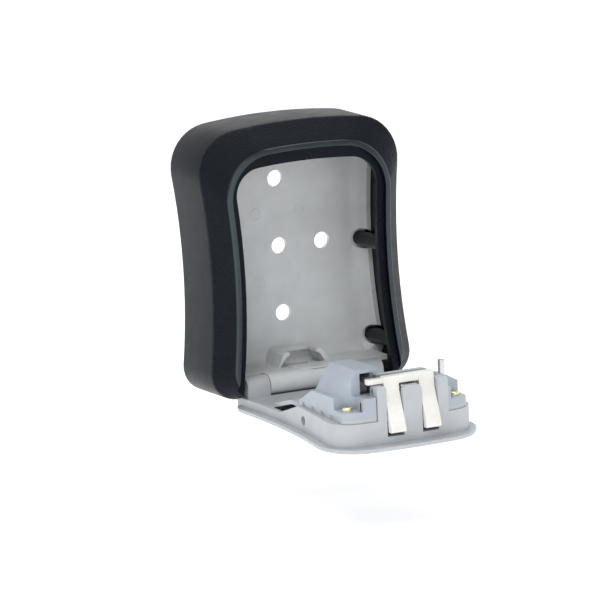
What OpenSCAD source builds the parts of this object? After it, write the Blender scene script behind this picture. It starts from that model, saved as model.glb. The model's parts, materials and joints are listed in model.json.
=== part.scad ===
// Wall-mounted key lock box with a drop-down lid and a four-wheel combination latch.
// X is to the right, -Y is the front and +Z is up. The origin is the middle fixing
// hole on the back face. Lid pieces are drawn shut and then swung open by swing().

/* [Case] */
// Height of the case
case_h = 115; // [110:1:120]
// Half width of the case at its narrow waist
waist = 43.3; // [42:0.1:45]
// Depth from the wall to the edge where the sides meet the front bevel
side_depth = 28.9; // [28:0.1:30]
// Depth from the wall to the front lip
lip_depth = 37.9; // [37.5:0.1:38.5]
// Wall thickness of the front shell
shell_wall = 2.5; // [2.2:0.1:2.8]
// Thickness of the back plate
plate_t = 2.5; // [2:0.1:3]
// Height of the back plate's rim in front of the wall
rim_h = 8.5; // [7:0.5:9]

/* [Fixing holes] */
// Radius of the fixing holes
fix_r = 3.6; // [2.5:0.1:4]
// Distance between neighbouring holes up the middle
fix_pitch_z = 29; // [27:0.5:30]
// Distance between the left and right holes
fix_pitch_x = 40; // [36:1:42]

/* [Lid] */
// Angle of the lid when it hangs open
lid_open = 93; // [0:1:93]
// Radius of the hinge knuckles
knuckle_r = 4.3; // [4.2:0.1:4.4]
// Radius of the hinge pin
pin_r = 1.5; // [1.3:0.1:1.6]
// Thickness of the lid's face plate
fascia_t = 1.8; // [1.6:0.1:2]
// Height of the lid housing's side walls
tray_h = 9.6; // [9.4:0.1:9.8]

/* [Number wheels] */
// Radius of a number wheel
wheel_r = 7.4; // [7.2:0.1:7.5]
// Distance from wheel to wheel
wheel_pitch = 8; // [8:0.1:8.2]
// Width of a number wheel
wheel_w = 5.4; // [5:0.1:5.5]
// Radius of the axle that the wheels turn on
axle_r = 2; // [1.8:0.1:2]

/* [Hidden] */

$fn = 48;
eps = 0.01;          // overlap that keeps cuts clean
fit = 0.05;          // radial clearance of a pin in its bore
gap = 0.3;           // clearance between pieces that pass each other

// Case outline: the sides bow in to the waist and the top is arched.
waist_z = -4;        // height of the narrowest point
side_R = 303;        // radius of the bowed sides
top_R = 250;         // radius of the arched top
top_z = case_h / 2 - 0.6;
bottom_z = top_z - case_h;
corner_r = 18.5;     // top corners
foot_r = 11;         // bottom corners
draft = 0.7;         // how much wider the case is at the wall

lip_in = 7.4;        // ridge to the outside of the lip
lip_in_top = 9.75;
lip_w = 2;           // width of the lip
ledge_in = 12.5;     // ridge to the edge of the opening
ledge_in_top = 16.8;
recess_y = -35.4;    // floor of the recess that takes the lid's face plate
front_t = 2.4;       // thickness of that floor
strike_w = 34;       // width of the thick stretch that the latch hooks behind
strike_y = -31.1;    // its back face

// Hinge and lid planes, lid shut
hinge_y = -28;
hinge_z = bottom_z + knuckle_r + 0.2;
ledge_z = hinge_z + knuckle_r;            // top of the back plate's ledge
ledge_t = 2.2;
sill_y = -22.8;      // front edge of the case's bottom wall
knuckle_x0 = -20.9;  // middle knuckle, on the back plate
knuckle_x1 = 15.2;
ear_gap = 0.4;
knuckle_room = 1.4;  // round the middle knuckle, so that its tongue clears the lid
ear_x = 31.6;        // outside of the lid's hinge ears
fascia_back = recess_y - 0.1;
fascia_front = fascia_back - fascia_t;
deck_y = fascia_back + tray_h;            // inside face of the lid housing
deck_t = 1.6;
floor_y = fascia_back + 3.5;              // low floor of the housing beside the hinge
ramp_z0 = -36;       // the deck climbs from that floor between these two heights
ramp_z1 = -15;
rim_z0 = -20.6;      // and the rim outside it between these
rim_z1 = -3.3;
tray_wall = 2;
tray_clear = 0.8;    // opening edge to lid housing
top_wall = 3;        // the housing's thick wall behind the latch
shim_t = 1.8;        // mechanism plate
cover_y = deck_y + shim_t;                // foot of the mechanism cover
cover_top = -16;     // the cover is highest beside the latch
cover_wall = 1.8;
cover_z0 = -6;       // end of the cover nearest the hinge
cover_knee_z = 7;    // where its sloping end meets the top
cover_knee_y = -17.4;
block_top = -6;      // top of the raised block over the latch arm
block_z0 = 4.5;      // its end nearest the hinge

// Screw posts of the case: x, z and the y of the end that joins the shell
posts = [for (s = [-1, 1]) for (q = [[36.5, 40, -32.4], [37.8, -1, -30], [40.6, -43.2, -30]])
    [s * q[0], q[1], q[2]]];
post_r = 3.15;
post_seat_r = 4.25;
cover_screw_x = 24;
cover_screw_z = 32;
// Screws that hold the face plate from inside the lid
fascia_screws_at = [for (s = [-1, 1]) for (z = [-4, 20]) [s * 25, z]];
stud_r = 2.2;        // stud of the face plate that each one bites into
stud_h = 4.4;
head_r = 2.1;        // screw heads

// Number wheels and locking parts, lid shut
axle_y = -30.9;
axle_z = 2;
wheel_count = 4;
digits = 10;
hub_r = 4;           // sleeve inside the wheel
cam_r = 4.4;         // locking disc of the sleeve
cam_flat = 3.1;      // axle to the flats of that disc
cam_w = 1.9;
cheek_x = 17.1;      // inside faces of the axle's cheeks
cheek_t = 1.6;
lock_y = -28.8;      // front face of the lock plate
lock_t = 1.2;
tooth_top = axle_z - 5.8;
lock_arm_x = 19.1;
lock_arm_w = 1.6;
stem_z = -11.9;      // height of the release button's stem
stem_h = 2.2;
button_h = 12.4;
shutter_z0 = -6.4;   // lower edge of the dial shutter
shutter_h = 18;
release_travel = 2.4;
lift_x0 = -15.4;     // arm of the lock plate that lifts the latch
lift_x1 = -11.6;
spring_x = 1.8;      // return spring
spring_y = -31;
spring_z0 = 27.9;

// Latch fork, lid shut
latch_y = -14.3;
latch_z = 34.6;
latch_pin_r = 1.1;
slot_x = [-6.05, 9.7];       // middles of the two slots
slot_w = 7.4;
prong_w = 6.7;
slot_y0 = -32.7;
arch_z0 = 24.6;      // wall behind the latch
arch_z1 = 27.4;
arch_x0 = -8.6;
arch_x1 = 18.2;
arch_top = -9.6;

function unit(v) = v / norm(v);
function dir(a) = [cos(a), sin(a)];
function turn(v) = let (a = atan2(v[1], v[0])) a < 0 ? a + 360 : a;
// Points of an arc, from point number start of n
function arc(c, r, a0, a1, n, start = 0) =
    [for (i = [start:n]) c + r * dir(a0 + (a1 - a0) * i / n)];
function flip(pts) = [for (i = [len(pts) - 1:-1:0]) [-pts[i][0], pts[i][1]]];

// Centre of the circle of radius r between the side (centre cs) and the top (centre ct)
function corner_centre(cs, rs, ct, rt, r) =
    let (a = rs + r, b = rt - r, d = norm(cs - ct), u = unit(cs - ct),
        k = (b * b - a * a + d * d) / (2 * d), h = sqrt(b * b - k * k))
    ct + k * u + h * [-u[1], u[0]];

// Outline of half width w at the waist between z0 and z1, with the case's own curves.
// inset moves the curves' radii so that outlines stay an even distance apart.
function outline(w, z0, z1, rt, rb, inset = 0) =
    let (rs = side_R + inset, rtop = top_R - inset,
        cs = [w + rs, waist_z], ct = [0, z1 - rtop],
        cf = corner_centre(cs, rs, ct, rtop, rt),
        cb = [cs[0] - sqrt(pow(rs + rb, 2) - pow(z0 + rb - waist_z, 2)), z0 + rb],
        right = concat(
            arc(cb, rb, -90, atan2(cs[1] - cb[1], cs[0] - cb[0]), 8),
            arc(cs, rs, turn(cb - cs), turn(cf - cs), 12, 1),
            arc(cf, rt, atan2(cs[1] - cf[1], cs[0] - cf[0]), turn(cf - ct), 10, 1),
            [for (p = arc(ct, rtop, turn(cf - ct), 90, 6, 1)) if (p[0] > 0.1) p]))
    concat(right, flip(right));

// A solid through outlines that have the same number of points, each at its own y
module loft(ys, rings) {
    n = len(rings[0]);
    points = [for (i = [0:len(ys) - 1]) for (p = rings[i]) [p[0], ys[i], p[1]]];
    walls = [for (i = [0:len(ys) - 2]) for (j = [0:n - 1])
        let (a = i * n + j, b = i * n + (j + 1) % n)
        each [[a, b + n, b], [a, a + n, b + n]]];
    last = (len(ys) - 1) * n;
    polyhedron(points, concat([[for (j = [0:n - 1]) j]], walls,
        [[for (j = [n - 1:-1:0]) last + j]]));
}

// Extrudes an XZ drawing from y0 (front) to y1 (back)
module slab(y0, y1) translate([0, y1, 0]) rotate([90, 0, 0]) linear_extrude(y1 - y0) children();
// Extrudes a YZ drawing from x0 to x1
module bar(x0, x1) translate([x0, 0, 0]) rotate([90, 0, 90]) linear_extrude(x1 - x0) children();
module block(x0, x1, y0, y1, z0, z1) translate([x0, y0, z0]) cube([x1 - x0, y1 - y0, z1 - z0]);
// A cylinder along X and one along Y
module rod_x(x0, x1, y, z, r) translate([x0, y, z]) rotate([0, 90, 0]) cylinder(h = x1 - x0, r = r);
module rod_y(x, z, y0, y1, r) translate([x, y1, z]) rotate([90, 0, 0]) cylinder(h = y1 - y0, r = r);
module cone_y(x, z, y0, y1, r0, r1)
    translate([x, y0, z]) rotate([-90, 0, 0]) cylinder(h = y1 - y0, r1 = r0, r2 = r1);

// Swings lid pieces from shut to open about the hinge
module swing() translate([0, hinge_y, hinge_z]) rotate([lid_open, 0, 0])
    translate([0, -hinge_y, -hinge_z]) children();

function case_ring(inset_side, inset_top, rt, rb, foot = 0) =
    outline(waist - inset_side, bottom_z + foot, top_z - inset_top, rt, rb, inset_side);
function opening_ring(less) =
    outline(waist - ledge_in - less, bottom_z - 20, top_z - ledge_in_top - less,
        11.6 - less, 4, ledge_in + less);
function tray_ring(less) =
    outline(waist - ledge_in - tray_clear - less, hinge_z - knuckle_r + less,
        top_z - ledge_in_top - tray_clear - less, 10.8 - less, 3, ledge_in + tray_clear + less);
fascia_less = lip_in + lip_w + 0.5;
fascia_top_less = lip_in_top + lip_w + 0.5;

// ---- Case ----

function inner_ring() = case_ring(shell_wall, shell_wall, corner_r - 2, foot_r - 2, shell_wall);

module front_shell() color([0.12, 0.13, 0.16]) difference() {
    union() {
        difference() {
            loft([1, -side_depth + 1.2, -side_depth, -side_depth - 0.9,
                    -lip_depth + 0.9, -lip_depth + 0.2, -lip_depth],
                [case_ring(-draft, -draft, corner_r, foot_r),
                    case_ring(0, 0, corner_r, foot_r),
                    case_ring(0.25, 0.3, corner_r, foot_r),
                    case_ring(0.9, 1.1, corner_r, foot_r, 0.3),
                    case_ring(lip_in - 0.6, lip_in_top - 0.7, 20.6, foot_r, 1.2),
                    case_ring(lip_in - 0.1, lip_in_top - 0.1, 20.7, foot_r, 1.6),
                    case_ring(lip_in + 0.6, lip_in_top + 0.6, 20.2, foot_r, 2)]);
            // the hollow behind the front wall
            intersection() {
                loft([2, -side_depth, recess_y], [inner_ring(), inner_ring(),
                    case_ring(ledge_in, ledge_in_top - 1.4, 12, foot_r - 5, shell_wall)]);
                block(-60, 60, recess_y + front_t, 3, -80, 80);
            }
            // flat back, level with the wall
            block(-60, 60, 0, 3, -80, 80);
        }
        // thick stretch that the latch hooks behind
        block(-strike_w / 2, strike_w / 2, recess_y, strike_y, top_z - ledge_in_top, top_z - 11);
        for (p = posts) rod_y(p[0], p[1], p[2], -plate_t - 0.02, post_r);
    }
    // recess for the lid's face plate, then the opening itself
    slab(-lip_depth - 1, recess_y) polygon(outline(waist - lip_in - lip_w, bottom_z - 20,
        top_z - lip_in_top - lip_w, 18.7, 4, lip_in + lip_w));
    slab(-lip_depth - 1, sill_y) intersection() {
        polygon(opening_ring(0));
        translate([-50, bottom_z - 25]) square([100, 150]);
    }
    for (p = posts) rod_y(p[0], p[1], -18, 0, 1.25);
}

plate_in = shell_wall + 0.15;
hood_y = -18.4;      // front of the hood
tongue_r = 9.8;

module hood_profile(less) polygon([[-12.5, ledge_z - 1], [-10.6, ledge_z + 0.6 - less],
    [-8.6 + less, ledge_z + 5 - less], [-7.2 + less, ledge_z + 5.9 - less],
    [8.8 - less, ledge_z + 5.9 - less], [10.2 - less, ledge_z + 5 - less],
    [12.6 - less, ledge_z + 0.6 - less], [15.4, ledge_z - 1]]);

module back_plate() color([0.72, 0.75, 0.77]) difference() {
    union() {
        difference() {
            slab(-rim_h, 0) polygon(case_ring(plate_in, plate_in, corner_r - 2.2, foot_r - 2.2, plate_in));
            // dished inside, so that the floor runs up into the rim
            intersection() {
                loft([-plate_t + 0.4, -plate_t - 0.4, -plate_t - 1.4, -plate_t - 3.2, -rim_h - 1],
                    [for (k = [12, 6.6, 4.4, 2.8, 1.6])
                        case_ring(plate_in + k, plate_in + k, corner_r - 3, foot_r - 4, ledge_z - bottom_z)]);
                block(-60, 60, -rim_h - 2, -plate_t, -80, 80);
            }
        }
        // ledge, rounded into the back plate, and the middle knuckle
        block(-38, 38, sill_y - 0.5 + gap, -plate_t + eps, ledge_z - ledge_t, ledge_z);
        bar(-36, 36) polygon(concat([[-1, ledge_z - 1], [-1, ledge_z + 5.3]],
            arc([-plate_t - 5.3, ledge_z + 5.3], 5.5, 0, -90, 8), [[-plate_t - 5.3, ledge_z - 1]]));
        block(knuckle_x0, knuckle_x1, hinge_y, sill_y, ledge_z - ledge_t, ledge_z);
        rod_x(knuckle_x0, knuckle_x1, hinge_y, hinge_z, knuckle_r);
        // raised hood over the drain slot
        slab(hood_y, -plate_t) hood_profile(0);
        // half-round tongue that runs from the hood out over the knuckle
        translate([2.2, -20.6, ledge_z - 0.1]) cylinder(h = 0.6, r = tongue_r);
    }
    slab(hood_y - 1, -5.5) hood_profile(1.4);
    // U-shaped mouth of the hood
    block(-5.4, 7, hood_y - 1, -9, ledge_z + 1, ledge_z + 8);
    // drain slot under the hood
    block(-4, 6, -14, -8.5, ledge_z - 4, ledge_z + 1);
    rod_x(knuckle_x0 - 1, knuckle_x1 + 1, hinge_y, hinge_z, pin_r + fit);
    // fixing holes
    for (i = [-1:1]) rod_y(0, i * fix_pitch_z, -plate_t - 1, 1, fix_r);
    for (s = [-1, 1]) rod_y(s * fix_pitch_x / 2, 0, -plate_t - 1, 1, fix_r);
    // seats of the screw posts and the countersunk screw holes
    for (p = posts) {
        rod_y(p[0], p[1], -rim_h - 1, -plate_t, post_seat_r);
        rod_y(p[0], p[1], -plate_t - 1, 1, 1.6);
        cone_y(p[0], p[1], -1.2, eps, 1.6, 2.5);
    }
}

module shell_screws() color([0.75, 0.75, 0.74]) for (p = posts) difference() {
    union() {
        rod_y(p[0], p[1], -14, -1.2, 1.2);
        cone_y(p[0], p[1], -1.2, -0.05, 1.2, 2.2);
    }
    for (a = [0, 90]) translate([p[0], 0, p[1]]) rotate([0, a, 0]) cube([2.6, 1.4, 0.5], center = true);
}

module hinge_pin() color([0.7, 0.7, 0.7])
    rod_x(-ear_x + 0.5, ear_x - 0.5, hinge_y, hinge_z, pin_r);

// ---- Lid housing ----

module window() translate([-cheek_x, -8.5]) square([2 * cheek_x, 39.5]);

// What lies below the deck's slope, and so is kept; depth lowers that slope
module under_slope(depth) bar(-60, 60) polygon([[fascia_back - 2, -80], [floor_y - depth, -80],
    [floor_y - depth, ramp_z0 + depth / 2], [deck_y - depth, ramp_z1 + depth / 2],
    [deck_y - depth, 60], [fascia_back - 2, 60]]);

module lid_housing() color([0.8, 0.82, 0.85]) swing() difference() {
    union() {
        difference() {
            intersection() {
                slab(fascia_back, deck_y + eps) polygon(tray_ring(0));
                under_slope(0);
            }
            intersection() {
                slab(fascia_back - 1, deck_y) hollow_plan();
                under_slope(deck_t);
            }
            // the rim stays low beside the slope, which leaves a wedge open
            for (s = [-1, 1]) bar(s > 0 ? 27.6 : -60, s > 0 ? 60 : -27.6) polygon([[floor_y, -80],
                [floor_y, rim_z0], [deck_y, rim_z1], [deck_y + 1, rim_z1], [deck_y + 1, -80]]);
        }
        // strips of the wall with the two latch slots, rounded at the top
        intersection() {
            slab(fascia_back, -4) polygon(tray_ring(0));
            bar(-20, 20) polygon(concat([[deck_y - 1, latch_z - 2.4]],
                arc([latch_y, latch_z + 0.8], 3.2, -90, 0, 5), [[latch_y + 3.2, 45], [deck_y - 1, 45]]));
            translate([0, 0, arch_z1]) linear_extrude(20) {
                strip(-13.7, slot_x[0] - slot_w / 2, latch_y + 2.5, 1.2);
                strip(slot_x[0] + slot_w / 2, slot_x[1] - slot_w / 2, latch_y + 1.6, 2);
                strip(slot_x[1] + slot_w / 2, arch_x1, latch_y + 3.1, 1.2);
            }
        }
        // arched wall behind the latch
        translate([0, 0, arch_z0]) linear_extrude(arch_z1 - arch_z0) polygon(concat(
            [[arch_x0, deck_y - 1], [arch_x0, arch_top]],
            arc([arch_x1 - 6, arch_top - 6], 6, 90, 0, 6), [[arch_x1, deck_y - 1]]));
        bar(13.6, arch_x1) polygon([[deck_y - 1, arch_z0], [-13, arch_z0], [-13, arch_z1 + 0.5],
            [-16, 36.4], [deck_y - 1, 36.4]]);
        // hinge ears
        for (e = [[-ear_x, knuckle_x0 - ear_gap], [knuckle_x1 + ear_gap, ear_x]]) {
            rod_x(e[0], e[1], hinge_y, hinge_z, knuckle_r);
            block(e[0], e[1], fascia_back, hinge_y, hinge_z - knuckle_r, hinge_z + knuckle_r);
        }
        // bosses that pass through the mechanism plate
        for (s = [-1, 1]) rod_y(s * cover_screw_x, cover_screw_z, deck_y - 1, cover_y - 0.02, 2.6);
    }
    // hollow for the middle knuckle
    rod_x(knuckle_x0 - ear_gap, knuckle_x1 + ear_gap, hinge_y, hinge_z, knuckle_r + knuckle_room);
    block(knuckle_x0 - ear_gap, knuckle_x1 + ear_gap, hinge_y, 0, hinge_z - 10, hinge_z + knuckle_r + knuckle_room);
    rod_x(-60, 60, hinge_y, hinge_z, pin_r + fit);
    slab(deck_y - deck_t - 1, deck_y + 1) window();
    for (x = slot_x) block(x - slot_w / 2, x + slot_w / 2, slot_y0, -2, arch_z1 + 0.6, 50);
    // the middle strip is thin, which leaves room for the spring on the pin
    block(-3, 6.6, deck_y, -2, arch_z1 + 0.6, latch_z + 2.4);
    rod_x(-14, arch_x1 - 1.2, latch_y, latch_z, latch_pin_r);
    rod_x(-cheek_x - cheek_t - 14, cheek_x + cheek_t + 1, axle_y, axle_z, axle_r);
    // blind holes for the cover screws
    for (s = [-1, 1]) rod_y(s * cover_screw_x, cover_screw_z, -33, 0, 1.05);
    // relief for the head of the button's screw
    block(-2.2, 2.2, deck_y - deck_t - 0.1, deck_y - deck_t + 0.5, stem_z - 2.2, stem_z + 2.2 + release_travel);
    // holes for the face plate's studs and screws
    for (p = fascia_screws_at) {
        rod_y(p[0], p[1], fascia_back - 1, fascia_back + stud_h + 0.1, stud_r + 0.1);
        rod_y(p[0], p[1], fascia_back, 0, 1.15);
        rod_y(p[0], p[1], deck_y - 1.5, deck_y + 1, head_r + 0.2);
    }
}

// Front view of one strip, with rounded upper corners
module strip(x0, x1, top, r) polygon(concat([[x0, deck_y - 1]], arc([x0 + r, top - r], r, 180, 90, 4),
    arc([x1 - r, top - r], r, 90, 0, 4), [[x1, deck_y - 1]]));

// Plan of the hollow under the deck
module hollow_plan() difference() {
    polygon(tray_ring(tray_wall));
    translate([-50, top_z - ledge_in_top - tray_clear - top_wall]) square([100, 20]);
    translate([-50, -80]) square([100, 80 + ramp_z0 + 1]);
    for (s = [-1, 1]) translate([s * cover_screw_x, cover_screw_z]) circle(r = 3);
    for (p = fascia_screws_at) translate(p) circle(r = 3);
    // cheeks that carry the axle
    for (s = [-1, 1]) translate([s * (cheek_x + cheek_t / 2), axle_z]) square([cheek_t, 13], center = true);
}

module lid_fascia() color([0.8, 0.82, 0.84]) swing() difference() {
    union() {
        loft([fascia_back, fascia_front + 0.7, fascia_front + 0.2, fascia_front],
            [for (k = [0, 0, 0.25, 0.9]) outline(waist - fascia_less - k, bottom_z + 0.6 + k,
                top_z - fascia_top_less - k, 18.2 - k, 9, fascia_less + k)]);
        // rails that guide the shutter
        for (s = [-1, 1]) shutter_rail(s);
        for (p = fascia_screws_at) rod_y(p[0], p[1], fascia_back - eps, fascia_back + stud_h, stud_r);
    }
    for (i = [0:wheel_count - 1]) block(wheel_x(i) - wheel_w / 2 - 0.4, wheel_x(i) + wheel_w / 2 + 0.4,
        fascia_front - 4, fascia_back + 1, axle_z - 6.6, axle_z + 6.6);
    // slot for the release button's stem
    block(-3.2, 3.2, fascia_front - 4, fascia_back + 1, stem_z - stem_h / 2 - gap,
        stem_z + stem_h / 2 + release_travel + gap);
    for (p = fascia_screws_at) rod_y(p[0], p[1], fascia_back - 0.6, fascia_back + 10, 1.05);
}
rail_z0 = -10.5;
rail_z1 = 30.5;
module shutter_rail(s) {
    x0 = s > 0 ? 21.9 : -23.4;
    block(x0, x0 + 1.5, fascia_front - 2.2, fascia_front + eps, rail_z0, rail_z1);
    block(s > 0 ? 20.8 : -23.4, s > 0 ? 23.4 : -20.8, fascia_front - 2.2, fascia_front - 1.4,
        rail_z0, rail_z1);
}

module fascia_screws() color([0.7, 0.7, 0.7]) swing() for (p = fascia_screws_at)
    pan_screw(p[0], p[1], deck_y - 1.45, fascia_back - 0.5, 1.1);

// Cross-recess screw whose head, of height h, sits on y and whose shank ends at tip
module pan_screw(x, z, y, tip, h) difference() {
    union() {
        rod_y(x, z, tip, y, 1);
        rod_y(x, z, y, y + h, head_r);
        cone_y(x, z, y + h - eps, y + h + 0.3, head_r, head_r - 0.6);
    }
    for (a = [0, 90]) translate([x, y + h, z]) rotate([0, a, 0]) cube([2.2, 1.2, 0.55], center = true);
}

module cover_screws() color([0.86, 0.82, 0.6]) swing() for (s = [-1, 1])
    pan_screw(s * cover_screw_x, cover_screw_z, screw_floor + 0.02, -30, 1.3);

// Plate between the housing and the mechanism cover
module mechanism_plate() color([0.78, 0.8, 0.83]) swing() difference() {
    slab(deck_y + 0.02, cover_y - 0.02) difference() {
        cover_plan(0.1);
        window();
        // castellated left edge
        for (k = [0:3]) translate([-30, -3 + 9 * k]) square([2.6, 3.4]);
        for (s = [-1, 1]) translate([s * cover_screw_x, cover_screw_z]) circle(r = 2.7);
    }
}

module cover_plan(less) difference() {
    intersection() {
        polygon(tray_ring(0.6 + less));
        translate([-28 + less, cover_z0 + less]) square([56 - 2 * less, 60]);
    }
    // the latch and its arched wall stand in this bay
    translate([arch_x0 - gap, arch_z0 - gap]) square([arch_x1 - arch_x0 + 2 * gap, 30]);
    translate([-13.7 - gap, arch_z1 + 2]) square([20, 30]);
}

screw_floor = -21.3;
pocket_r = 4.3;

// Side view of the cover, moved in by wall
module cover_profile(wall) bar(-60, 60) polygon([[cover_y - 1, cover_z0 + 1.4 * wall - 1.7],
    [cover_y, cover_z0 + 1.4 * wall], [cover_knee_y - wall, cover_knee_z + 0.6 * wall],
    [cover_top - wall, 36], [cover_top - wall, 60], [cover_y - 1, 60]]);

module mechanism_cover() color([0.73, 0.77, 0.83]) swing() difference() {
    union() {
        intersection() {
            slab(cover_y, cover_top + 1) cover_plan(0);
            cover_profile(0);
        }
        // raised block over the latch arm, sloped towards the side
        hull() {
            block(-18.4, arch_x0 - gap, cover_top - 2, block_top, 27, arch_z1 + 1.9);
            block(-18.4, arch_x0 - gap, cover_top - 2, block_top - 1.4, block_z0, arch_z1 + 1.9);
            block(-25.5, arch_x0 - gap, cover_knee_y - 1, cover_knee_y, block_z0 + 1, arch_z1 + 1.9);
        }
        // wing beside the reset lever
        hull() {
            block(arch_x1 + gap, arch_x1 + 1.6, cover_top - 2, cover_top + 3.4, 20, 33);
            block(arch_x1 + gap, 26.5, cover_top - 2, cover_top + 0.4, 14, 35);
        }
    }
    // hollow underneath
    intersection() {
        slab(cover_y - 2, cover_top) difference() {
            offset_plan();
            for (s = [-1, 1]) translate([s * cover_screw_x, cover_screw_z]) circle(r = pocket_r + 1);
        }
        cover_profile(cover_wall);
    }
    block(-16.8, arch_x0 - 1.9, cover_top - 5, block_top - 2.2, 13, arch_z1);
    // window that the latch arm enters
    block(-16.8, arch_x0 + 1, cover_top - 0.6, block_top - 1.6, arch_z1 - 2, arch_z1 + 5);
    // the front corners are cut down to the seats of the screws
    for (s = [-1, 1]) {
        slab(screw_floor, 0) polygon([for (p = concat([[cover_screw_x - pocket_r, 60]],
            arc([cover_screw_x, cover_screw_z], pocket_r, 180, 270, 8),
            [[60, cover_screw_z - pocket_r], [60, 60]])) [s * p[0], p[1]]]);
        rod_y(s * cover_screw_x, cover_screw_z, cover_y - 1, 0, 1.3);
    }
    // slot for the reset lever
    block(20.4, 26.6, cover_top - 6, 0, 24.1, 26.7);
}
module offset_plan() difference() {
    intersection() {
        polygon(tray_ring(0.6 + cover_wall));
        translate([-28 + cover_wall, cover_z0 + cover_wall]) square([56 - 2 * cover_wall, 60]);
    }
    translate([arch_x0 - gap - cover_wall, arch_z0 - gap - cover_wall])
        square([arch_x1 - arch_x0 + 2 * (gap + cover_wall), 30]);
    translate([-13.7 - gap - cover_wall, arch_z1 + 2 - cover_wall]) square([20, 30]);
}

// ---- Wheels, axle and springs ----

function wheel_x(i) = (i - (wheel_count - 1) / 2) * wheel_pitch - 1;

clip_x = 16.4;       // middle of each axle clip
clip_t = 0.6;

module wheel_axle() color([0.75, 0.75, 0.76]) swing() difference() {
    rod_x(-cheek_x - cheek_t - 1, cheek_x + cheek_t + 1, axle_y, axle_z, axle_r - 0.02);
    // grooves for the clips
    for (s = [-1, 1]) difference() {
        rod_x(s * clip_x - clip_t / 2 - 0.05, s * clip_x + clip_t / 2 + 0.05, axle_y, axle_z, axle_r + 1);
        rod_x(s * clip_x - clip_t, s * clip_x + clip_t, axle_y, axle_z, axle_r - 0.5);
    }
}

module axle_clips() color([0.5, 0.5, 0.52]) swing() for (s = [-1, 1]) difference() {
    rod_x(s * clip_x - clip_t / 2, s * clip_x + clip_t / 2, axle_y, axle_z, axle_r + 1);
    rod_x(s * clip_x - clip_t, s * clip_x + clip_t, axle_y, axle_z, axle_r - 0.45);
    block(s * clip_x - 1, s * clip_x + 1, axle_y - 5, axle_y, axle_z - 0.9, axle_z + 0.9);
}

module number_wheel(i) color([0.1, 0.1, 0.11]) swing() difference() {
    rod_x(wheel_x(i) - wheel_w / 2, wheel_x(i) + wheel_w / 2, axle_y, axle_z, wheel_r);
    rod_x(wheel_x(i) - wheel_w, wheel_x(i) + wheel_w, axle_y, axle_z, hub_r + 0.02);
    // finger scallops between the digits
    for (k = [0:digits - 1]) translate([0, axle_y, axle_z]) rotate([360 / digits * (k + 0.5), 0, 0])
        translate([wheel_x(i) - wheel_w / 2 - 1, wheel_r + 0.55, 0]) rotate([0, 90, 0])
            cylinder(h = wheel_w + 2, r = 1.05, $fn = 24);
}

module wheel_sleeve(i) color([0.78, 0.7, 0.5]) swing() difference() {
    union() {
        rod_x(wheel_x(i) - wheel_w / 2, wheel_x(i) + wheel_w / 2 + 0.2, axle_y, axle_z, hub_r);
        intersection() {
            rod_x(wheel_x(i) + wheel_w / 2 + 0.05, wheel_x(i) + wheel_w / 2 + 0.05 + cam_w,
                axle_y, axle_z, cam_r);
            block(-50, 50, axle_y - 9, axle_y + 9, axle_z - cam_flat, axle_z + cam_flat);
        }
    }
    rod_x(wheel_x(i) - wheel_w, wheel_x(i) + wheel_w, axle_y, axle_z, axle_r + fit - 0.02);
}

// Leaf with one finger on each wheel
module detent_spring() color([0.6, 0.62, 0.64]) swing() union() {
    spring_z = axle_z + wheel_r + 0.06;
    block(-cheek_x + 0.4, cheek_x - 0.4, deck_y - deck_t + 0.1, deck_y - deck_t + 0.5, 14, 19);
    for (i = [0:wheel_count - 1]) bar(wheel_x(i) - 1.6, wheel_x(i) + 1.6) polygon([
        [deck_y - deck_t + 0.1, 14.1], [deck_y - deck_t + 0.5, 14.1],
        [axle_y + 0.4, spring_z + 0.3], [axle_y + 0.1, spring_z]]);
}

module latch_pin() color([0.75, 0.76, 0.78]) swing()
    rod_x(-13.9, arch_x1 - 1.3, latch_y, latch_z, latch_pin_r - 0.02);

// A coil of round wire about the Z axis
module coil(r, wire, turns, h) {
    steps = 12;
    n = turns * steps;
    sides = 6;
    ring = [for (i = [0:n]) let (a = 360 * i / steps, z = h * i / n)
        [for (k = [0:sides - 1]) let (b = 360 * k / sides)
            [(r + wire * cos(b)) * cos(a), (r + wire * cos(b)) * sin(a), z + wire * sin(b)]]];
    points = [for (q = ring) for (p = q) p];
    walls = [for (i = [0:n - 1]) for (k = [0:sides - 1])
        [i * sides + (k + 1) % sides, i * sides + k, (i + 1) * sides + k, (i + 1) * sides + (k + 1) % sides]];
    polyhedron(points, concat([[for (k = [0:sides - 1]) k]], walls,
        [[for (k = [sides - 1:-1:0]) n * sides + k]]));
}

module latch_spring() color([0.45, 0.46, 0.48]) swing() union()
    translate([-1.6, latch_y, latch_z]) rotate([0, 90, 0]) coil(1.75, 0.32, 7, 6.8);

// Drawn at the length it has when the plate is fully raised
module return_spring() color([0.5, 0.51, 0.53]) swing() union()
    translate([spring_x, spring_y, spring_z0 + release_travel + 0.4]) coil(1.8, 0.3, 7, 5.2);

// ---- Latch ----

module latch_fork() color([0.93, 0.93, 0.9]) swing() difference() {
    union() {
        for (x = slot_x) bar(x - prong_w / 2, x + prong_w / 2) polygon(concat(
            [[-8.7, 33], [-8.7, 36], [-15, 36.6], [-29.2, 42], [-30.4, 42], [-30.8, 41.5],
                [-30.8, 39.2]],
            arc([-30.8, 26.7], 12.5, 90, 62, 5), [[-15.2, 32.4], [-12.2, 32.4], [-11.6, 33]]));
        block(slot_x[0] - prong_w / 2, slot_x[1] + prong_w / 2, -11.9, -8.7, 33, 36);
        block(-16.4, slot_x[0], -11.2, -9.2, 33.2, 35.8);
    }
    rod_x(-20, 20, latch_y, latch_z, latch_pin_r + fit);
}

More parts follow.
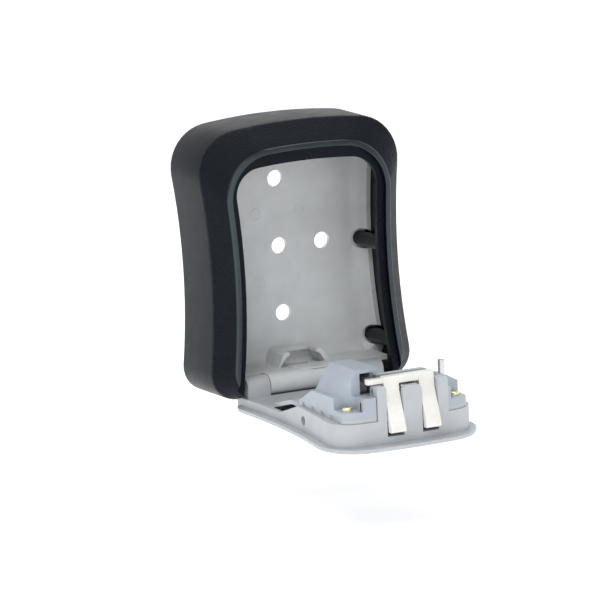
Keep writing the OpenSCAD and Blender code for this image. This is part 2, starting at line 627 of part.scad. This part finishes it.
module lock_plate() color([0.7, 0.71, 0.73]) swing() difference() {
    union() {
        slab(lock_y, lock_y + lock_t) difference() {
            union() {
                translate([-lock_arm_x - lock_arm_w, -13]) square([2 * (lock_arm_x + lock_arm_w), 5]);
                for (s = [-1, 1]) translate([s * (lock_arm_x + lock_arm_w / 2), 7])
                    square([lock_arm_w, 38], center = true);
                translate([-lock_arm_x - lock_arm_w, 25.4]) square([2 * (lock_arm_x + lock_arm_w), 2.4]);
                for (i = [0:wheel_count - 1]) translate([wheel_x(i) + wheel_w / 2 + 0.25, -9])
                    square([cam_w - 0.4, tooth_top + 9]);
            }
            translate([0, stem_z]) circle(r = 1.2);
        }
        // bent tab under the return spring
        block(spring_x - 2.6, spring_x + 2.6, spring_y - 2.4, lock_y + eps, spring_z0 - 1.2, spring_z0);
        // arm that rises inside the cover and lifts the end of the latch fork
        block(lift_x0, lift_x1, lock_y, lock_y + lock_t, 22.4, 27);
        block(lift_x0, lift_x1, lock_y, -9.4, 22.4, 24.6);
        block(lift_x0, lift_x1, -11.4, -9.4, 22.4, 31.2);
    }
    // seat of the button screw's head
    rod_y(0, stem_z, lock_y + 0.7, lock_y + 2, 1.6);
}

module release_button() color([0.1, 0.1, 0.11]) swing() difference() {
    top = stem_z + stem_h / 2;
    plate_top = top + 1.4;
    union() {
        slab(fascia_front - 2.6, fascia_front - 0.15) translate([-8, plate_top - button_h]) square([16, button_h]);
        // ribs for the thumb
        for (k = [1:4]) block(-7, 7, fascia_front - 3.3, fascia_front - 2, plate_top - 2.4 * k - 0.5,
            plate_top - 2.4 * k + 0.5);
        block(-2.8, 2.8, fascia_front - 1, lock_y - 0.02, top - stem_h, top);
    }
    rod_y(0, stem_z, -33.5, lock_y + 1, 0.8);
}

module button_screw() color([0.7, 0.7, 0.7]) swing() union() {
    rod_y(0, stem_z, -33.2, lock_y + 0.8, 0.78);
    rod_y(0, stem_z, lock_y + 0.72, lock_y + lock_t - 0.05, 1.5);
}

module reset_lever() color([0.75, 0.76, 0.77]) swing() union() {
    block(20.7, 23, -22.6, -7.4, 24.4, 26.4);
    block(20.7, 23, -22.6, -21.2, 12, 26.4);
}

module dial_shutter() color([0.1, 0.1, 0.11]) swing() union() {
    x1 = 21.7;
    y_in = fascia_front - 1.5;
    slab(y_in - 1.4, y_in) translate([-20.6, shutter_z0]) square([41.2, shutter_h]);
    for (s = [-1, 1]) {
        block(s > 0 ? 19.2 : -20.6, s > 0 ? 20.6 : -19.2, y_in - eps, fascia_front - 0.12,
            shutter_z0, shutter_z0 + shutter_h);
        block(s > 0 ? 20 : -x1, s > 0 ? x1 : -20, fascia_front - 1.25, fascia_front - 0.12,
            shutter_z0, shutter_z0 + shutter_h);
    }
    // finger ridge
    block(-9, 9, y_in - 2.2, y_in - 1.3, axle_z + 6.6, axle_z + 8.2);
}

back_plate();
front_shell();
shell_screws();
hinge_pin();
lid_housing();
lid_fascia();
fascia_screws();
mechanism_plate();
mechanism_cover();
cover_screws();
wheel_axle();
axle_clips();
detent_spring();
latch_pin();
latch_spring();
return_spring();
number_wheel(0);  // number_wheel_1
number_wheel(1);  // number_wheel_2
number_wheel(2);  // number_wheel_3
number_wheel(3);  // number_wheel_4
wheel_sleeve(0);  // wheel_sleeve_1
wheel_sleeve(1);  // wheel_sleeve_2
wheel_sleeve(2);  // wheel_sleeve_3
wheel_sleeve(3);  // wheel_sleeve_4
latch_fork();
lock_plate();
release_button();
button_screw();
reset_lever();
dial_shutter();
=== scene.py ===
import json
import math

import bmesh
import bpy
from mathutils import Matrix, Vector


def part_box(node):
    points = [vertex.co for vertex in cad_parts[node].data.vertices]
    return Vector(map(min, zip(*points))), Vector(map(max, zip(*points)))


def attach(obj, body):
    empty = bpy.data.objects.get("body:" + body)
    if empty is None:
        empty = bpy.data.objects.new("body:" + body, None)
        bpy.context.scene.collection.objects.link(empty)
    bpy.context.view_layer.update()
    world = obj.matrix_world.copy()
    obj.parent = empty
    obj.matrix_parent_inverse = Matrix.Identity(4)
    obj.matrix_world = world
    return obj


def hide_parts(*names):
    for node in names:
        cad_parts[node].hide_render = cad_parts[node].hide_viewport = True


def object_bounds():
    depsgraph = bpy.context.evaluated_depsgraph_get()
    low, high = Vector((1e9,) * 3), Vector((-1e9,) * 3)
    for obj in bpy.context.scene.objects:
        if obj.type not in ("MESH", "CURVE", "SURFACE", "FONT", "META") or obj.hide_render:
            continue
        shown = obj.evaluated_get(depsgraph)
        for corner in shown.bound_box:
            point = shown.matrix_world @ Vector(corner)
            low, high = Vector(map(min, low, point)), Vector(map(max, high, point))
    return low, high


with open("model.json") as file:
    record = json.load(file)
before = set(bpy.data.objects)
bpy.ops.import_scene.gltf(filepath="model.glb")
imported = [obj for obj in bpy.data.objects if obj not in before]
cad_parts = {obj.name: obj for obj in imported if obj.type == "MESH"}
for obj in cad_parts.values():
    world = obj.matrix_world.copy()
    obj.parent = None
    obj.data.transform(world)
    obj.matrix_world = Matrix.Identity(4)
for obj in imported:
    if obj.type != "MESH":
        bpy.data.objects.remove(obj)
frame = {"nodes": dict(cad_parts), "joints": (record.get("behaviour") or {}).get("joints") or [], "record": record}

MM = 0.001
CAD_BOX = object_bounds()
NODES = frame["nodes"]
BODY_OF = {node: body for body, members in frame["record"]["behaviour"]["bodies"].items() for node in members}
SLOT_OF = {row["node"]: row["material_slot"] for row in frame["record"]["subparts"]}
HINGE = next(joint for joint in frame["joints"] if joint["name"] == "lid_hinge")
HINGE_POINT = Vector(HINGE["pos_m"])
LID_ANGLE = math.radians(HINGE["range_deg"][1])

# ---- Camera ----

AZIMUTH = math.radians(-24.026)
ELEVATION = math.radians(9.613)
ROLL = math.radians(-3.632)
DISTANCE = 1.6534
TARGET = Vector((0.0002, -0.0200, -0.02136))
LENS = 234.13


def add_camera():
    """The camera looks at TARGET from AZIMUTH and ELEVATION, turned by ROLL about its own axis."""
    sa, ca = math.sin(AZIMUTH), math.cos(AZIMUTH)
    se, ce = math.sin(ELEVATION), math.cos(ELEVATION)
    back = Vector((sa * ce, -ca * ce, se))
    level = Vector((ca, sa, 0))
    upright = Vector((-sa * se, ca * se, ce))
    right = level * math.cos(ROLL) + upright * math.sin(ROLL)
    up = upright * math.cos(ROLL) - level * math.sin(ROLL)
    data = bpy.data.cameras.new("camera")
    data.lens = LENS
    data.sensor_width = 36
    data.clip_end = 50
    camera = bpy.data.objects.new("camera", data)
    turn = Matrix((right, up, back)).transposed().to_4x4()
    camera.matrix_world = Matrix.Translation(TARGET + back * DISTANCE) @ turn
    bpy.context.scene.collection.objects.link(camera)
    bpy.context.scene.camera = camera


# ---- Light and floor ----


def add_area(name, place, size, power, colour=(1, 1, 1)):
    data = bpy.data.lights.new(name, "AREA")
    data.shape = "RECTANGLE"
    data.size, data.size_y = size
    data.energy = power
    data.color = colour
    lamp = bpy.data.objects.new(name, data)
    lamp.location = place
    aim = Vector((0, -0.03, -0.02)) - Vector(place)
    lamp.rotation_euler = aim.to_track_quat("-Z", "Y").to_euler()
    bpy.context.scene.collection.objects.link(lamp)


def add_studio():
    add_area("key", (-0.9, -1.1, 1.5), (0.7, 0.5), 10)
    add_area("top", (0.15, 0.1, 1.4), (1.2, 0.8), 8)
    add_area("right_strip", (1.5, -0.5, 0.5), (0.35, 1.6), 4)
    add_area("left_fill", (-1.6, -0.3, 0.3), (0.6, 1.4), 4.5, (0.93, 0.96, 1))
    add_area("front_fill", (-0.3, -2.2, 0.3), (1.6, 1.2), 9)
    world = bpy.data.worlds.new("studio")
    bpy.context.scene.world = world
    world.use_nodes = True
    shade = world.node_tree.nodes["Background"]
    shade.inputs["Color"].default_value = (0.93, 0.96, 1, 1)
    shade.inputs["Strength"].default_value = 0.34
    bpy.context.scene.view_settings.view_transform = "Standard"


FLOOR_DROP = 0.035


def add_floor():
    """A pale floor that sweeps up into a backdrop well behind the object."""
    level = CAD_BOX[0][2] - FLOOR_DROP
    half, front, back, radius, top = 6, -6, 2.5, 1.5, 6
    profile = [(front, level), (back, level)]
    profile += [(back + radius * math.sin(a), level + radius * (1 - math.cos(a)))
                for a in (math.pi / 2 * step / 16 for step in range(1, 17))]
    profile.append((back + radius, top))
    points = [(x, y, z) for y, z in profile for x in (-half, half)]
    faces = [(2 * i, 2 * i + 1, 2 * i + 3, 2 * i + 2) for i in range(len(profile) - 1)]
    mesh = bpy.data.meshes.new("floor")
    mesh.from_pydata(points, [], faces)
    mesh.shade_smooth()
    floor = bpy.data.objects.new("floor", mesh)
    bpy.context.scene.collection.objects.link(floor)
    paint = bpy.data.materials.new("floor_white")
    paint.use_nodes = True
    shader = paint.node_tree.nodes["Principled BSDF"]
    shader.inputs["Base Color"].default_value = (0.93, 0.935, 0.94, 1)
    shader.inputs["Roughness"].default_value = 0.9
    shader.inputs["Emission Color"].default_value = (1, 1, 1, 1)
    shader.inputs["Emission Strength"].default_value = 0.45
    mesh.materials.append(paint)


# ---- Materials ----


class Paint:
    """A procedural material, whose coordinates are metres in the frame that every mesh is in."""

    def __init__(self, name, colour, roughness, metallic=0.0):
        self.material = bpy.data.materials.new(name)
        self.material.use_nodes = True
        self.tree = self.material.node_tree
        self.shader = self.tree.nodes["Principled BSDF"]
        self.place = self.tree.nodes.new("ShaderNodeTexCoord")
        self.colour = (*colour, 1)
        self.roughness = roughness
        self.shader.inputs["Base Color"].default_value = self.colour
        self.shader.inputs["Roughness"].default_value = roughness
        self.shader.inputs["Metallic"].default_value = metallic
        self.bump_out = None

    def node(self, kind, **values):
        made = self.tree.nodes.new("ShaderNode" + kind)
        for key, value in values.items():
            setattr(made, key, value)
        return made

    def link(self, source, target):
        self.tree.links.new(source, target)

    def noise(self, size, detail=4.0, stretch=(1, 1, 1)):
        """Noise whose features are about size metres across."""
        mapping = self.node("Mapping")
        mapping.inputs["Scale"].default_value = tuple(s / size for s in stretch)
        self.link(self.place.outputs["Object"], mapping.inputs["Vector"])
        noise = self.node("TexNoise")
        noise.inputs["Scale"].default_value = 1.0
        noise.inputs["Detail"].default_value = detail
        self.link(mapping.outputs["Vector"], noise.inputs["Vector"])
        return noise.outputs["Fac"]

    def cells(self, size):
        mapping = self.node("Mapping")
        mapping.inputs["Scale"].default_value = (1 / size,) * 3
        self.link(self.place.outputs["Object"], mapping.inputs["Vector"])
        cells = self.node("TexVoronoi", feature="SMOOTH_F1")
        cells.inputs["Smoothness"].default_value = 0.6
        cells.inputs["Scale"].default_value = 1.0
        self.link(mapping.outputs["Vector"], cells.inputs["Vector"])
        return cells.outputs["Distance"]

    def span(self, source, low, high, out_low=0.0, out_high=1.0):
        mapped = self.node("MapRange")
        for name, value in (("From Min", low), ("From Max", high), ("To Min", out_low), ("To Max", out_high)):
            mapped.inputs[name].default_value = value
        self.link(source, mapped.inputs["Value"])
        return mapped.outputs["Result"]

    def times(self, a, b):
        product = self.node("Math", operation="MULTIPLY")
        self.link(a, product.inputs[0])
        if isinstance(b, float):
            product.inputs[1].default_value = b
        else:
            self.link(b, product.inputs[1])
        return product.outputs[0]

    def mottle(self, source, low, high):
        """The base colour varies between two multiples of itself as source goes from 0.3 to 0.7."""
        mix = self.node("Mix", data_type="RGBA")
        fac = self.span(source, 0.3, 0.7)
        self.link(fac, mix.inputs["Factor"])
        mix.inputs["A"].default_value = tuple(c * low for c in self.colour[:3]) + (1,)
        mix.inputs["B"].default_value = tuple(min(1, c * high) for c in self.colour[:3]) + (1,)
        self.link(mix.outputs["Result"], self.shader.inputs["Base Color"])

    def gloss(self, source, low, high):
        self.link(self.span(source, 0.3, 0.7, low, high), self.shader.inputs["Roughness"])

    def bump(self, source, depth, strength=1.0):
        """Adds a layer of relief, depth metres high, on top of the layers before it."""
        bump = self.node("Bump")
        bump.inputs["Distance"].default_value = depth
        bump.inputs["Strength"].default_value = strength
        self.link(source, bump.inputs["Height"])
        if self.bump_out is not None:
            self.link(self.bump_out, bump.inputs["Normal"])
        self.bump_out = bump.outputs["Normal"]
        self.link(self.bump_out, self.shader.inputs["Normal"])


def case_paint():
    """Satin black moulding: smooth sides, a grained front bevel and a polished lip."""
    paint = Paint("black_case", (0.0025, 0.0032, 0.006), 0.36)
    normal = paint.node("SeparateXYZ")
    paint.link(paint.place.outputs["Normal"], normal.inputs[0])
    place = paint.node("SeparateXYZ")
    paint.link(paint.place.outputs["Object"], place.inputs[0])
    facing = paint.span(normal.outputs["Y"], -0.25, -0.5)
    inside_lip = paint.span(place.outputs["Y"], -37.3 * MM, -36.9 * MM)
    grained = paint.times(facing, inside_lip)
    grain = paint.cells(0.75 * MM)
    paint.bump(paint.times(grain, grained), 0.28 * MM, 0.9)
    paint.bump(paint.noise(0.22 * MM, 3), 0.006 * MM, 0.6)
    paint.mottle(paint.noise(14 * MM, 6), 0.85, 1.2)
    rough = paint.node("Math", operation="MULTIPLY_ADD")
    paint.link(grained, rough.inputs[0])
    rough.inputs[1].default_value = 0.16
    paint.link(paint.span(paint.noise(5 * MM), 0.3, 0.7, 0.32, 0.40), rough.inputs[2])
    paint.link(rough.outputs[0], paint.shader.inputs["Roughness"])
    paint.link(paint.span(place.outputs["Y"], -37.1 * MM, -37.6 * MM, 0.2, 0.9),
               paint.shader.inputs["Specular IOR Level"])
    paint.shader.inputs["Specular Tint"].default_value = (0.74, 0.9, 1, 1)
    return paint.material


def cast_paint(name, colour, roughness, grain=0.35, relief=0.02):
    """Satin paint on a casting: fine orange peel and slight clouding."""
    paint = Paint(name, colour, roughness)
    paint.mottle(paint.noise(9 * MM, 6), 0.94, 1.05)
    paint.gloss(paint.noise(3 * MM), roughness - 0.05, roughness + 0.06)
    paint.bump(paint.noise(grain * MM, 3), relief * MM, 0.5)
    paint.bump(paint.noise(6 * MM, 2), 0.05 * MM, 0.25)
    return paint.material


def metal_paint(name, colour, roughness, stretch=(1, 1, 1)):
    """Plated or drawn metal with fine lines along one direction."""
    paint = Paint(name, colour, roughness, 1.0)
    paint.mottle(paint.noise(2.5 * MM, 5), 0.86, 1.08)
    lines = paint.noise(0.35 * MM, 3, stretch)
    paint.gloss(lines, roughness - 0.07, roughness + 0.08)
    paint.bump(lines, 0.01 * MM, 0.35)
    return paint.material


def plastic_paint(name, colour, roughness):
    paint = Paint(name, colour, roughness)
    paint.mottle(paint.noise(5 * MM, 5), 0.85, 1.15)
    paint.gloss(paint.noise(1.5 * MM), roughness - 0.05, roughness + 0.08)
    paint.bump(paint.noise(0.18 * MM, 2), 0.012 * MM, 0.6)
    return paint.material


MATERIALS = {
    "black_case": case_paint(),
    "grey_casting": cast_paint("grey_casting", (0.72, 0.735, 0.74), 0.42),
    "lid_grey": cast_paint("lid_grey", (0.49, 0.51, 0.53), 0.40),
    "cover_grey": cast_paint("cover_grey", (0.41, 0.455, 0.51), 0.34, 0.25, 0.01),
    "bright_steel": metal_paint("bright_steel", (0.66, 0.66, 0.65), 0.3, (0.15, 1, 1)),
    "yellow_zinc": metal_paint("yellow_zinc", (0.93, 0.84, 0.55), 0.28),
    "latch_nickel": cast_paint("latch_nickel", (0.88, 0.86, 0.80), 0.24, 0.3, 0.006),
    "spring_steel": metal_paint("spring_steel", (0.42, 0.43, 0.45), 0.34),
    "sleeve_brass": metal_paint("sleeve_brass", (0.72, 0.58, 0.32), 0.3, (1, 0.2, 1)),
    "black_plastic": plastic_paint("black_plastic", (0.018, 0.018, 0.02), 0.42),
    "digit_white": plastic_paint("digit_white", (0.82, 0.82, 0.8), 0.5),
}

# ---- Pieces ----

# Width in millimetres of the rounded edges, and of each piece that differs
USUAL_ROUNDING = 0.3
ROUNDING = {
    "back_plate": 0.35, "lid_housing": 0.45, "mechanism_cover": 0.4, "latch_fork": 0.45, "shell_screws": 0.12,
    "cover_screws": 0.12, "fascia_screws": 0.1, "button_screw": 0.05, "axle_clips": 0.08, "detent_spring": 0.08,
    "wheel_axle": 0.2, "latch_pin": 0.15, "hinge_pin": 0.25,
    "latch_spring": 0, "return_spring": 0, "lock_plate": 0.15, "mechanism_plate": 0.15,
}
SHARP = math.radians(32)       # edges that turn by more than this are rounded
FLAT = math.radians(0.4)       # faces that differ by less than this are one flat face
WELD = 0.004 * MM
# Pieces whose flat faces have many openings, and so stay divided
KEPT_FACES = {"lid_fascia"}


def clean_copy(node):
    """A welded copy of a CAD node's mesh, with its flat areas merged into single faces."""
    mesh = NODES[node].data.copy()
    mesh.name = node + "_finished"
    work = bmesh.new()
    work.from_mesh(mesh)
    bmesh.ops.remove_doubles(work, verts=work.verts, dist=WELD)
    if node not in KEPT_FACES:
        bmesh.ops.dissolve_limit(work, angle_limit=FLAT, verts=work.verts, edges=work.edges)
    bmesh.ops.recalc_face_normals(work, faces=work.faces)
    for face in work.faces:
        face.smooth = True
    for edge in work.edges:
        edge.smooth = not (len(edge.link_faces) == 2 and edge.calc_face_angle(0) > SHARP)
    work.to_mesh(mesh)
    work.free()
    return mesh


def add_piece(name, mesh, body, material):
    piece = bpy.data.objects.new(name, mesh)
    bpy.context.scene.collection.objects.link(piece)
    mesh.materials.clear()
    mesh.materials.append(material)
    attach(piece, body)
    return piece


def finish_node(node):
    """Stands a finished piece with rounded edges in the place of a CAD node."""
    slot = SLOT_OF[node]
    piece = add_piece(node + "_finished", clean_copy(node), BODY_OF[node], MATERIALS[slot])
    width = ROUNDING.get(node, USUAL_ROUNDING)
    if width:
        rounding = piece.modifiers.new("rounded_edges", "BEVEL")
        rounding.width = width * MM
        rounding.segments = 3
        rounding.limit_method = "ANGLE"
        rounding.angle_limit = SHARP
        rounding.miter_outer = "MITER_ARC"
        rounding.use_clamp_overlap = True
        rounding.harden_normals = True
    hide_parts(node)


# ---- Digits on the wheels ----

WHEEL_DIGITS = 10
DIGIT_SIZE = 3.9 * MM
DIGIT_RAISED = 0.02 * MM
DIGIT_SLICE = 0.4 * MM         # height of the strips that bend each digit round its wheel
DIGIT_SLICES_EACH_WAY = 5


def digit_mesh(character, radius):
    """One digit as a thin solid, bent round the X axis onto the front of a wheel."""
    curve = bpy.data.curves.new("digit", "FONT")
    curve.body = character
    curve.size = DIGIT_SIZE
    curve.extrude = DIGIT_RAISED
    curve.align_x = "CENTER"
    curve.align_y = "CENTER"
    curve.resolution_u = 3
    shape = bpy.data.objects.new("digit", curve)
    bpy.context.scene.collection.objects.link(shape)
    graph = bpy.context.evaluated_depsgraph_get()
    mesh = bpy.data.meshes.new_from_object(shape.evaluated_get(graph))
    bpy.data.objects.remove(shape)
    work = bmesh.new()
    work.from_mesh(mesh)
    for step in range(-DIGIT_SLICES_EACH_WAY, DIGIT_SLICES_EACH_WAY + 1):
        bmesh.ops.bisect_plane(work, geom=work.verts[:] + work.edges[:] + work.faces[:],
                               plane_co=(0, step * DIGIT_SLICE, 0), plane_no=(0, 1, 0))
    for vert in work.verts:
        x, along, out = vert.co
        reach, angle = radius + DIGIT_RAISED / 2 + out, along / radius
        vert.co = (x, -reach * math.cos(angle), reach * math.sin(angle))
    work.to_mesh(mesh)
    work.free()
    return mesh


def add_digits():
    """White digits round each number wheel, upright at the front when the lid is shut."""
    opened = (Matrix.Translation(HINGE_POINT) @ Matrix.Rotation(LID_ANGLE, 4, "X")
              @ Matrix.Translation(-HINGE_POINT))
    wheel_low, wheel_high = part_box("number_wheel_1")
    radius = (wheel_high.z - wheel_low.z) / 2
    shapes = [digit_mesh(str(k), radius) for k in range(WHEEL_DIGITS)]
    for number in range(1, 5):
        node = f"number_wheel_{number}"
        low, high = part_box(node)
        centre = (low + high) / 2
        shut_centre = opened.inverted() @ centre
        work = bmesh.new()
        for k, shape in enumerate(shapes):
            around = Matrix.Rotation(-2 * math.pi * k / WHEEL_DIGITS, 4, "X")
            placed = shape.copy()
            placed.transform(opened @ Matrix.Translation(shut_centre) @ around)
            work.from_mesh(placed)
        mesh = bpy.data.meshes.new(f"digits_{number}")
        work.to_mesh(mesh)
        work.free()
        add_piece(f"digits_{number}", mesh, BODY_OF[node], MATERIALS["digit_white"])


# ---- Marks on the back plate ----

FLOOR_Y = -2.5 * MM            # front face of the back plate's floor
MARK_ACROSS = 10.2 * MM        # from the middle of the plate to the middle of each mark
MARK_UP = 14.6 * MM
MARK_RADIUS = 2.3 * MM
MARK_WIRE = 0.16 * MM


def add_ejector_marks():
    """Fine raised rings, as the mould's ejector pins leave on the back plate's floor."""
    work = bmesh.new()
    for across, up in ((s, t) for s in (-1, 1) for t in (-1, 1)):
        ring(work, Vector((across * MARK_ACROSS, FLOOR_Y, up * MARK_UP)), MARK_RADIUS, MARK_WIRE)
    mesh = bpy.data.meshes.new("ejector_marks")
    work.to_mesh(mesh)
    work.free()
    mesh.shade_smooth()
    add_piece("ejector_marks", mesh, "case", MATERIALS["grey_casting"])


def ring(work, centre, radius, wire, around=48, sides=8):
    """A torus about the Y axis."""
    rows = []
    for i in range(around):
        a = 2 * math.pi * i / around
        out = Vector((math.cos(a), 0, math.sin(a)))
        turns = (2 * math.pi * k / sides for k in range(sides))
        rows.append([work.verts.new(centre + out * (radius + wire * math.cos(b))
                                    + Vector((0, wire * math.sin(b), 0))) for b in turns])
    for i in range(around):
        for k in range(sides):
            work.faces.new((rows[i][k], rows[i][(k + 1) % sides],
                            rows[(i + 1) % around][(k + 1) % sides], rows[(i + 1) % around][k]))


add_camera()
add_studio()
add_floor()
for name in sorted(NODES):
    finish_node(name)
add_digits()
add_ejector_marks()
